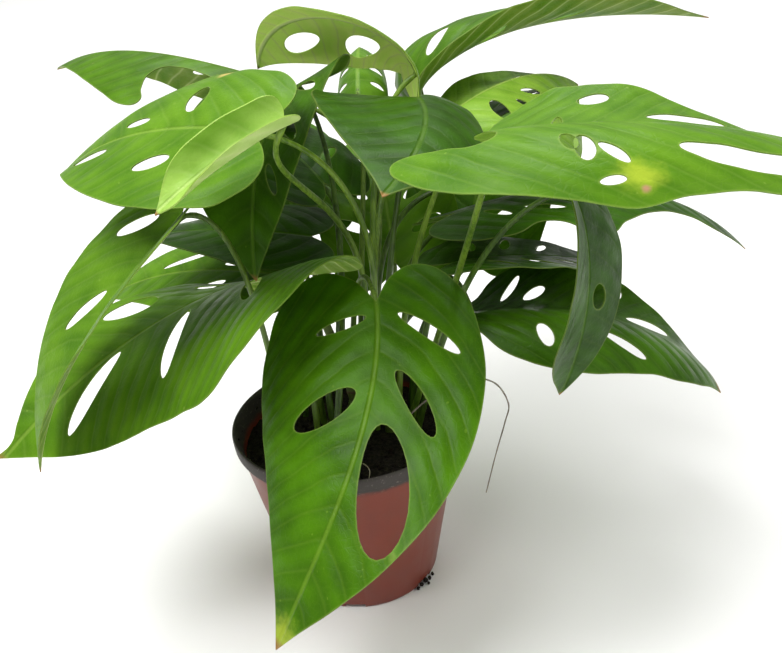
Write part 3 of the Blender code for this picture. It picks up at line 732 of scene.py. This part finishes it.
@dataclass
class Blade:
    """One leaf blade: millimetres and degrees, heading 0 is +X and 90 is +Y.

    An edge is a row of points (along the midrib, across it) from the notch to the tip,
    both ends left out; without one, that side takes the usual outline.
    """

    at: tuple
    heading: float
    pitch: float
    length: float
    left: float
    right: float
    droop: float = 40.0
    bend: float = 1.2
    sweep: float = 0.0
    roll: float = 0.0
    twist: float = 0.0
    fold: tuple = (5.0, 5.0)
    cup: tuple = (-12.0, -12.0)
    lobe: float = 0.12
    belly: float = 0.27
    left_edge: tuple = ()
    right_edge: tuple = ()
    tip: tuple = ()
    holes: tuple = ()


USUAL_HOLES = (
    (0.16, 0.30, 0.24, 0.74, 0.05),
    (0.34, 0.26, 0.46, 0.68, 0.055),
    (0.54, 0.20, 0.66, 0.44, 0.045),
    (0.14, -0.30, 0.22, -0.74, 0.05),
    (0.32, -0.26, 0.44, -0.70, 0.055),
    (0.52, -0.22, 0.64, -0.46, 0.045),
)

BLADES = {
    "front": Blade((18, -41, 175), -92, -30, 155, 46, 55, droop=30, sweep=-69, roll=-2, twist=-11,
        fold=(2, 2), cup=(-11, -37), holes=((8, -5, 15, -27, 6), (7, 9, 25, 35, 6),
        (44, -7, 66, -31, 13), (34, 9, 58, 29, 8), (57, 7, 104, 24, 21, -0.15))),
    "upper_left": Blade((-26, -38, 254), 154, 4, 114, 44, 42, droop=37, sweep=-13, roll=-31, twist=16,
        fold=(2, 9), cup=(-7, -31), holes=((68, 8, 90, 9, 7), (28, 17, 43, 24, 7), (8, 12, 14, 25, 10),
        (31, -9, 32, -27, 9), (52, -8, 66, -8, 5))),
    "young": Blade((-11, -62, 261), 200, -14, 58, 24, 13, droop=20, bend=0.8, roll=-15, fold=(12, 12),
        cup=(50, 100), lobe=0.05, belly=0.5),
    "far_upper_left": Blade((-14, 93, 248), 168, 19, 151, 48, 42, droop=43, bend=1.8, sweep=-28,
        roll=-5, twist=2, fold=(-6, -30), cup=(-28, -45), holes=((74, -6, 107, -9, 7),
        (36, -9, 58, -20, 6)), left_edge=((-10, 14), (-8, 29), (8, 37), (22, 30), (30, 16), (40, 12),
        (52, 11), (60, 14), (64, 22), (63, 33), (60, 42), (66, 46), (84, 39), (105, 27), (130, 12))),
    "inner_left": Blade((-4, 41, 255), -117, 13, 112, 33, 41, droop=100, bend=0.7, sweep=5, roll=7,
        twist=-6, fold=(19, 12), cup=(2, -11), lobe=0.15, holes=USUAL_HOLES),
    "top_left": Blade((49, 6, 261), 156, 93, 144, 12, 47, droop=133, bend=0.4, sweep=-56, roll=22,
        twist=28, fold=(1, 6), cup=(-10, -30), holes=((37, -24, 70, -32, 16), (79, -15, 110, -12, 12))),
    "top_right": Blade((59, 93, 238), -3, 104, 163, 46, 43, droop=114, bend=0.2, sweep=-7, roll=22,
        twist=-24, fold=(13, 14), cup=(-40, 45), holes=((15, 11, 30, 33, 8),
        (46, 9, 66, 28, 7), (37, -9, 54, -30, 7), (73, -7, 95, -21, 6)), belly=0.42),
    "right": Blade((62, -103, 257), -21, 11, 138, 45, 52, droop=43, bend=0.8, sweep=53, roll=-15,
        twist=16, fold=(7, 20), cup=(20, -80), lobe=0.20, holes=((28, 31, 43, 36, 9),
        (52, 15, 88, 17, 9), (17, 0, 19, 20, 4), (36, -8, 42, 8, 5), (27, -33, 33, -42, 4),
        (23, -29, 24, -41, 5), (19, -28, 21, -36, 4), (26, -49, 32, -47, 3)), tip=(134, 0),
        left_edge=((-8, 4), (-9, 15), (-4, 32), (5, 44), (15, 47), (27, 46), (51, 44), (65, 40),
        (79, 29), (92, 22), (110, 14)), right_edge=((-8, -4), (-3, -14), (2, -26), (-4, -31),
        (-14, -29), (-26, -29), (-30, -34), (-22, -44), (-10, -49), (1, -52), (17, -54), (32, -56),
        (46, -52), (58, -49), (72, -49), (84, -50), (74, -43), (60, -41), (50, -38), (46, -33),
        (54, -31), (68, -33), (84, -31), (104, -23), (122, -11))),
    "far_right": Blade((70, 33, 238), 30, 19, 104, 40, 58, droop=47, bend=1.0, sweep=16, roll=-18,
        twist=47, fold=(-28, -22), cup=(44, -39), holes=((50, 9, 68, 15, 5), (35, -10, 47, -14, 5),
        (15, -9, 9, -26, 8), (26, -15, 29, -22, 4))),
    "centre": Blade((46, -10, 254), -85, 2, 93, 27, 47, droop=17, bend=0.5, sweep=-43, roll=-1,
        twist=-15, fold=(-4, -3), cup=(-37, 27)),
    "arched_back": Blade((25, 72, 243), 84, 25, 92, 26, 26, droop=45, fold=(-25, -25), cup=(-60, -60),
        holes=USUAL_HOLES, roll=-3),
    "lower_right": Blade((68, -9, 148), -9, 6, 144, 56, 48, droop=60, bend=1.0, sweep=18, roll=-32,
        twist=41, fold=(-2, 1), cup=(54, -59), lobe=0.07, holes=((14, 28, 27, 48, 5),
        (27, 24, 40, 37, 8), (27, -25, 28, -41, 7), (54, -24, 76, -31, 7), (80, 9, 109, 13, 11),
        (82, 30, 84, 37, 4)), left_edge=((-6, 14), (-7, 28), (2, 42), (10, 50), (20, 54), (35, 56),
        (52, 53), (68, 50), (83, 43), (97, 36), (112, 27), (126, 10)), right_edge=((-7, -11), (-6, -24),
        (2, -37), (8, -45), (16, -50), (28, -52), (50, -49), (77, -39), (93, -35), (113, -27),
        (126, -20)), tip=(136, -16)),
    "hanging_right": Blade((94, -74, 227), -53, -35, 101, 28, 31, droop=83, bend=0.4, sweep=-17,
        roll=-23, twist=29, fold=(5, 12), cup=(-10, 10), holes=((42, 6, 54, 10, 8),)),
    "mid_right": Blade((66, 30, 186), 5, 10, 165, 48, 49, droop=60, bend=1.6, sweep=-17, roll=-8,
        twist=4, fold=(-5, -4), cup=(-24, -16), holes=((13, -10, 24, -22, 5), (32, -17, 51, -26, 5),
        (22, 11, 37, 30, 8), (50, 10, 66, 28, 8), (62, -9, 83, -22, 8)), right_edge=((-15, -9),
        (-17, -21), (-5, -34), (10, -41), (23, -41), (34, -37), (44, -39), (55, -49), (66, -53),
        (79, -41), (100, -26), (120, -18), (137, -17), (152, -10))),
    "under_right": Blade((59, 6, 169), 12, 9, 100, 37, 37, droop=32, bend=0.4, sweep=16, roll=-6,
        twist=17, fold=(2, 10), cup=(-7, -3), holes=USUAL_HOLES),
    "narrow_left": Blade((-59, -31, 220), 210, -35, 129, 35, 44, droop=40, bend=1.7, sweep=-16, roll=12,
        twist=-11, fold=(15, 19), cup=(-3, -5), lobe=0.1, belly=0.30, holes=((44, -7, 69, -18, 6),
        (5, -13, 23, -30, 8), (41, 8, 59, 18, 5))),
    "lower_left": Blade((-20, 8, 171), 199, 30, 156, 77, 44, droop=69, bend=0.4, sweep=1, roll=31,
        twist=-70, fold=(4, 3), cup=(-18, -8), belly=0.36, left_edge=((-10, 20), (-14, 42), (0, 62),
        (12, 72), (24, 77), (36, 77), (50, 77), (67, 75), (79, 66), (94, 55), (110, 45), (123, 36),
        (138, 23), (150, 10)), tip=(163, -4), holes=((61, -27, 88, -28, 16, 0.3),
        (52, 9, 77, 43, 8, -0.2), (88, 3, 129, 19, 9), (28, -9, 43, -26, 6), (21, 17, 32, 47, 9))),
    "mid_left": Blade((-22, 59, 150), 160, 8, 130, 35, 39, droop=40, bend=1.3, sweep=-5, roll=-18,
        cup=(-10, -25), lobe=0.05, holes=((50, -17, 82, -6, 5), (28, -7, 41, -5, 4),
        (35, 9, 53, 21, 6))),
    "inner_centre_left": Blade((-8, 48, 176), 179, 14, 101, 39, 41, droop=25, sweep=-15, roll=-13,
        twist=25, fold=(6, 5), cup=(-12, -22)),
    "back_left": Blade((-16, 98, 171), 109, 47, 128, 43, 45, droop=60, roll=3, holes=USUAL_HOLES),
    "back_right": Blade((85, 101, 137), 66, 55, 136, 47, 47, droop=60, roll=-5, holes=USUAL_HOLES),
    "back_high_left": Blade((2, 50, 203), 128, 35, 110, 38, 38, droop=62, roll=8, holes=USUAL_HOLES),
    "back_high_right": Blade((69, 50, 205), 50, 30, 115, 38, 38, droop=50, roll=-8, holes=USUAL_HOLES),
    "back_low": Blade((36, 62, 150), 90, 52, 120, 40, 40, droop=60, holes=USUAL_HOLES),
}

# %% [markdown]
# ## From a flat drawing to a living leaf
# A leaf grows flat and is then bent by its own weight, so it is made in the same order. The edge and
# the holes are drawn as one flat curve and filled. The sheet is bisected into small cells so that it
# can bend, and is bent point by point along its midrib. Solidify gives it its thickness, thicker
# along the midrib, where the underside shows a raised rib.

# %% Drawing a flat blade
CELL = 3.2
HOLE_POINTS = 26
RIB_LINES = (0.9, 2.2)
BLADE_THICKNESS = 1.5
THIN_SHARE = 0.34


def half_edge(blade, side):
    """Points along one half of the blade's edge, without the notch and the tip."""
    own = blade.left_edge if side > 0 else blade.right_edge
    if own:
        return [Vector(spot) for spot in own]
    width = side * (blade.left if side > 0 else blade.right)
    shaped = []
    for along, across in HALF_OUTLINE:
        if along < 0:
            along *= blade.lobe
        elif along <= WIDEST_AT:
            along *= blade.belly / WIDEST_AT
        else:
            along = blade.belly + (along - WIDEST_AT) * (1 - blade.belly) / (1 - WIDEST_AT)
        shaped.append(Vector((along * blade.length, across * width)))
    return shaped[1:-1]


def tip_of(blade):
    """The end of the blade on the flat drawing."""
    return Vector(blade.tip or (blade.length, 0.0))


def hole_edge(hole, blade):
    """An oval from the hole's start to its end, blunter at its start if it says so."""
    x0, y0, x1, y1, width, *blunt = hole
    if abs(x1) <= 1.0 and abs(y1) <= 1.0:
        half = blade.left if y0 > 0 else blade.right
        x0, x1 = x0 * blade.length, x1 * blade.length
        y0, y1 = y0 * half, y1 * half
        width *= blade.length
    centre = Vector(((x0 + x1) / 2, (y0 + y1) / 2))
    axis = Vector((x1 - x0, y1 - y0)) / 2
    side = Vector((-axis.y, axis.x)).normalized() * width / 2
    spots = []
    for step in range(HOLE_POINTS):
        turn = step * math.tau / HOLE_POINTS
        swell = 1.0 - (blunt[0] if blunt else 0.0) * math.cos(turn)
        spots.append(centre + axis * math.cos(turn) + side * math.sin(turn) * swell)
    return spots


def draw_blade(blade):
    """The blade's edge and holes, drawn as one flat curve and filled."""
    left = half_edge(blade, 1)
    edge = [Vector((0.0, 0.0)), *left, tip_of(blade), *reversed(half_edge(blade, -1))]
    curve = bpy.data.curves.new("blade_edge", "CURVE")
    curve.dimensions = "2D"
    curve.fill_mode = "BOTH"
    curve.resolution_u = 9
    outline = curve.splines.new("BEZIER")
    outline.bezier_points.add(len(edge) - 1)
    for index, (knot, spot) in enumerate(zip(outline.bezier_points, edge)):
        knot.co = (spot.x * MM, spot.y * MM, 0)
        kind = "VECTOR" if index in (0, len(left) + 1) else "AUTO"
        knot.handle_left_type = kind
        knot.handle_right_type = kind
    outline.use_cyclic_u = True
    for hole in blade.holes:
        spots = hole_edge(hole, blade)
        slit = curve.splines.new("POLY")
        slit.points.add(len(spots) - 1)
        for knot, spot in zip(slit.points, spots):
            knot.co = (spot.x * MM, spot.y * MM, 0, 1)
        slit.use_cyclic_u = True
    drawing = bpy.data.objects.new("blade_edge", curve)
    bpy.context.scene.collection.objects.link(drawing)
    pick(drawing)
    bpy.ops.object.convert(target="MESH")
    return bpy.context.object


# %% Cells that can bend, and measures for the skin
def divide_sheet(sheet, blade):
    """Bisects the flat sheet into small cells, so that it can bend."""
    pick(sheet)
    bpy.ops.object.mode_set(mode="EDIT")
    bpy.ops.mesh.select_all(action="SELECT")
    bpy.ops.mesh.remove_doubles(threshold=0.02 * MM)
    lines = [((0, across * MM, 0), (0, 1, 0)) for rib in RIB_LINES for across in (-rib, rib)]
    lines.append(((0, 0, 0), (0, 1, 0)))
    for sign, width in ((1, blade.left), (-1, blade.right)):
        for step in range(1, 1 + int(width / CELL)):
            lines.append(((0, sign * (RIB_LINES[-1] + step * CELL) * MM, 0), (0, 1, 0)))
    first = -int(blade.lobe * blade.length / CELL)
    for step in range(first, int(blade.length / CELL)):
        lines.append((((step + 0.5) * CELL * MM, 0, 0), (1, 0, 0)))
    for spot, normal in lines:
        bpy.ops.mesh.select_all(action="SELECT")
        bpy.ops.mesh.bisect(plane_co=spot, plane_no=normal)
        bpy.ops.mesh.mark_seam()
    bpy.ops.mesh.select_all(action="SELECT")
    bpy.ops.mesh.dissolve_limited(angle_limit=0.001, delimit={"SEAM"})
    bpy.ops.mesh.select_all(action="SELECT")
    bpy.ops.mesh.quads_convert_to_tris()
    bpy.ops.object.mode_set(mode="OBJECT")
    if sheet.data.polygons[0].normal.z < 0:
        sheet.data.flip_normals()


def measure_sheet(sheet, blade):
    """Stores the flat place, the distance from any edge and the way to the tip."""
    mesh = sheet.data
    uses = {}
    for face in mesh.polygons:
        for pair in face.edge_keys:
            uses[pair] = uses.get(pair, 0) + 1
    border = {vertex for pair, count in uses.items() if count == 1 for vertex in pair}
    tree = kdtree.KDTree(len(border))
    for index in border:
        tree.insert(mesh.vertices[index].co, index)
    tree.balance()
    rim = mesh.attributes.new("rim", "FLOAT", "POINT")
    share = mesh.attributes.new("share", "FLOAT", "POINT")
    for vertex in mesh.vertices:
        rim.data[vertex.index].value = tree.find(vertex.co)[2] / MM
        share.data[vertex.index].value = vertex.co.x / MM / tip_of(blade).x
    flat = mesh.uv_layers.new(name="flat")
    for loop in mesh.loops:
        spot = mesh.vertices[loop.vertex_index].co
        flat.data[loop.index].uv = (spot.x / MM / FLAT_SCALE, spot.y / MM / FLAT_SCALE)


# %% Bending the blade
STATIONS = 60


def direction_at(blade, share):
    """The midrib's direction at a share of its length."""
    pitch = math.radians(blade.pitch - blade.droop * share**blade.bend)
    heading = math.radians(blade.heading + blade.sweep * share)
    level = math.cos(pitch)
    return Vector((level * math.cos(heading), level * math.sin(heading), math.sin(pitch)))


def midrib_of(blade):
    """Places along the midrib, from the notch to the tip, in millimetres."""
    step = blade.length / STATIONS
    places = [Vector(blade.at)]
    for index in range(STATIONS):
        places.append(places[-1] + direction_at(blade, (index + 0.5) / STATIONS) * step)
    return places


def frame_at(blade, midrib, along):
    """The midrib's place and its forward, left and up directions at one length."""
    reach = min(max(along, 0.0), blade.length)
    share = reach / blade.length
    index = min(int(share * STATIONS), STATIONS - 1)
    place = midrib[index].lerp(midrib[index + 1], share * STATIONS - index)
    ahead = direction_at(blade, share)
    heading = math.radians(blade.heading + blade.sweep * share)
    level_left = Vector((-math.sin(heading), math.cos(heading), 0.0))
    above = ahead.cross(level_left)
    roll = math.radians(blade.roll + blade.twist * share)
    left = level_left * math.cos(roll) + above * math.sin(roll)
    normal = above * math.cos(roll) - level_left * math.sin(roll)
    return place + ahead * (along - reach), ahead, left, normal


def bent(blade, midrib, along, across):
    """Where a point of the flat blade goes on the living leaf, in millimetres."""
    place, _, left, normal = frame_at(blade, midrib, along)
    side = 0 if across >= 0 else 1
    width = blade.left if side == 0 else blade.right
    distance = abs(across)
    fold = math.radians(blade.fold[side])
    curl = math.radians(blade.cup[side]) / width
    if abs(curl) < 1e-6:
        out, rise = distance * math.cos(fold), distance * math.sin(fold)
    else:
        out = (math.sin(fold + curl * distance) - math.sin(fold)) / curl
        rise = (math.cos(fold) - math.cos(fold + curl * distance)) / curl
    wave = noise.noise(Vector((along / 16, across / 16, blade.length))) * 1.3
    rise += wave * min(1.0, distance / width) ** 1.5
    return place + left * (out if side == 0 else -out) + normal * rise


# %% From the flat drawing to the finished blade
def make_blade(name, blade, tone):
    """One leaf blade, from the flat drawing to the finished piece."""
    sheet = draw_blade(blade)
    divide_sheet(sheet, blade)
    measure_sheet(sheet, blade)
    midrib = midrib_of(blade)
    ribs = sheet.vertex_groups.new(name="ribs")
    for vertex in sheet.data.vertices:
        along, across = vertex.co.x / MM, vertex.co.y / MM
        taper = max(0.0, 1.0 - max(along, 0.0) / blade.length)
        middle = max(0.0, 1.0 - abs(across) / RIB_LINES[1]) if along > -0.1 else 0.0
        ribs.add([vertex.index], THIN_SHARE + (1 - THIN_SHARE) * middle * taper, "REPLACE")
        vertex.co = bent(blade, midrib, along, across) * MM
    pick(sheet)
    thicken = sheet.modifiers.new("thickness", "SOLIDIFY")
    thicken.thickness = BLADE_THICKNESS * MM
    thicken.offset = -1.0
    thicken.vertex_group = "ribs"
    thicken.material_offset = 1
    sheet.data.materials.clear()
    marks = LEAF_MARKS.get(name, ())
    deep, light, vein = LEAF_TONES[tone]
    upper = leaf_uppersides[tone]
    if marks:
        upper = leaf_skin(f"waxy_leaf_{name}", deep, light, vein, marks=marks)
    sheet.data.materials.append(upper)
    # The top left leaf's underside, which faces the front, gets the backlit tone: painted light, as if
    # lit through from behind.
    sheet.data.materials.append(leaf_undersides["painted_backlight" if name == "top_left" else tone])
    bpy.ops.object.modifier_apply(modifier=thicken.name)
    bpy.ops.object.shade_smooth_by_angle(angle=math.radians(55))
    settle(sheet, f"blade_{name}")
    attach(sheet, "root")
    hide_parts(f"leaf_{name}")
    return sheet


# %% All the leaf blades
# Partly each leaf's own green and partly painted light and shade: shaded inner and back leaves take the
# dark tones, lit top leaves the light ones.
TONE_AND_PAINTED_LIGHT = {
    "front": "front", "upper_left": "bright", "young": "young", "far_upper_left": "green",
    "inner_left": "mid", "top_left": "yellow_green", "top_right": "green", "right": "bright",
    "far_right": "yellow_green", "arched_back": "leafy", "centre": "deep",
    "inner_centre_left": "deep", "mid_left": "leafy", "under_right": "deep", "lower_right": "mid",
    "hanging_right": "deep", "mid_right": "deep", "narrow_left": "bright", "lower_left": "leafy",
    "back_left": "mid", "back_right": "mid", "back_high_left": "deep", "back_high_right": "mid",
    "back_low": "leafy",
}


triangles = 0
for name, blade in BLADES.items():
    made = make_blade(name, blade, TONE_AND_PAINTED_LIGHT[name])
    triangles += sum(len(face.vertices) - 2 for face in made.data.polygons)
print("blades:", len(BLADES), "triangles:", triangles)

# %% [markdown]
# ## Leaf stalks
# A stalk rises from the soil, leans out and turns up into its blade. Just below the blade it swells
# into a joint, which lets the leaf turn to the light, and then runs on as the midrib's rib.

# %% The routes of the stalks
@dataclass
class Stalk:
    """One leaf stalk: where it leaves the soil, how it leans there and how it meets the blade."""

    root: tuple
    lean: tuple
    arrive: tuple = ()
    behind: bool = False


STALKS = {
    "front": Stalk((5, 12), (1, -7, 80), (-2, 28, 16)),
    "upper_left": Stalk((-4, -10), (43, -1, 91), (42, 7, -10)),
    "young": Stalk((0, 0), (49, 23, 133), (-27, 9, -34)),
    "far_upper_left": Stalk((1, 21), (61, 60, 150), (27, -4, -33)),
    "inner_left": Stalk((-10, -24), (24, 7, 109), (11, 27, -27)),
    "top_left": Stalk((14, -2), (8, 0, 90)),
    "top_right": Stalk((17, 4), (1, 22, 187), (9, 20, -51)),
    "right": Stalk((30, -4), (49, 1, 130), (-14, -15, -19)),
    "far_right": Stalk((26, -1), (7, 3, 115), (-1, -16, -23)),
    "centre": Stalk((19, 14), (7, 3, 79), (-7, 12, -25)),
    "arched_back": Stalk((8, 20), (8, 8, 102), (3, -5, -30)),
    "lower_right": Stalk((34, 0), (14, 0, 100), (-6, 6, 26), behind=True),
    "hanging_right": Stalk((34, -10), (20, -6, 80)),
    "mid_right": Stalk((23, 14), (5, 14, 83), (-14, 13, -17)),
    "under_right": Stalk((33, 8), (8, 0, 70)),
    "narrow_left": Stalk((-31, -13), (-1, -12, 16), (29, 5, 3)),
    "lower_left": Stalk((-16, -14), (0, 0, 70), (8, 10, -25)),
    "mid_left": Stalk((-13, 10), (-4, 0, 60), (19, 7, -33)),
    "inner_centre_left": Stalk((-8, -7), (-2, 4, 83), (-1, -12, -23)),
    "back_left": Stalk((-23, 22), (5, 10, 42), (7, 3, -41)),
    "back_right": Stalk((17, 25), (9, 2, 69), (-5, -3, -30)),
    "back_high_left": Stalk((-5, 25), (9, 9, 86), (12, -8, -17)),
    "back_high_right": Stalk((21, 33), (-5, 20, 139), (6, -16, -19)),
    "back_low": Stalk((4, 28), (0, 8, 50)),
}


STALK_POINTS = 40
FOOT_RADIUS = 1.75
NARROWING = 0.75
JOINT_AT = 0.955
JOINT_LENGTH = 0.035
JOINT_SWELL = 0.32
RIB_RADII = ((1.5, 0.95), (5.0, 0.75), (9.0, 0.45), (12.0, 0.15))


def make_stalk(name, blade, stalk):
    """One stalk, from the soil to a little way under the blade's midrib."""
    midrib = midrib_of(blade)
    notch, ahead, _, normal = frame_at(blade, midrib, 0.0)
    root = Vector((stalk.root[0], stalk.root[1], 0.0))
    root.z = soil_height(root.length) + 0.6
    inward = ahead if stalk.behind else (ahead * 0.5 + normal * 0.87).normalized()
    end = notch - inward * (2.2 if stalk.behind else 1.75)
    approach = end + Vector(stalk.arrive) if stalk.arrive else end - inward * 32.0
    points = interpolate_bezier(root, root + Vector(stalk.lean), approach, end, STALK_POINTS)
    points[0] = points[0] - Vector((0, 0, 3))
    radii = []
    for step in range(STALK_POINTS):
        share = step / (STALK_POINTS - 1)
        swell = math.exp(-(((share - JOINT_AT) / JOINT_LENGTH) ** 2))
        radii.append(FOOT_RADIUS - NARROWING * share + JOINT_SWELL * swell)
    for reach, radius in RIB_RADII:
        spot, _, _, out = frame_at(blade, midrib, reach)
        points.append(spot - out * 0.9)
        radii.append(radius)
    # Painted light and shade: stalks of leaves with dark tones get the darker skin, those of the lit
    # top leaves the lighter one.
    finish = stalk_painted_shade if TONE_AND_PAINTED_LIGHT[name] in ("deep", "mid") else stalk_green
    if name in PAINTED_LIGHT_STALKS:
        finish = stalk_painted_light
    points = [point * MM for point in points]
    piece = grow_tube(f"leafstalk_{name}", points, [radius * MM for radius in radii], finish)
    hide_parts(f"stalk_{name}")
    return piece


# %% All the leaf stalks
# The stalks of the lit top leaves, which get the lighter skin that paints light on them.
PAINTED_LIGHT_STALKS = ("upper_left", "young", "top_left", "top_right", "right", "far_right")
for name, blade in BLADES.items():
    make_stalk(name, blade, STALKS[name])
print("stalks:", len(STALKS))
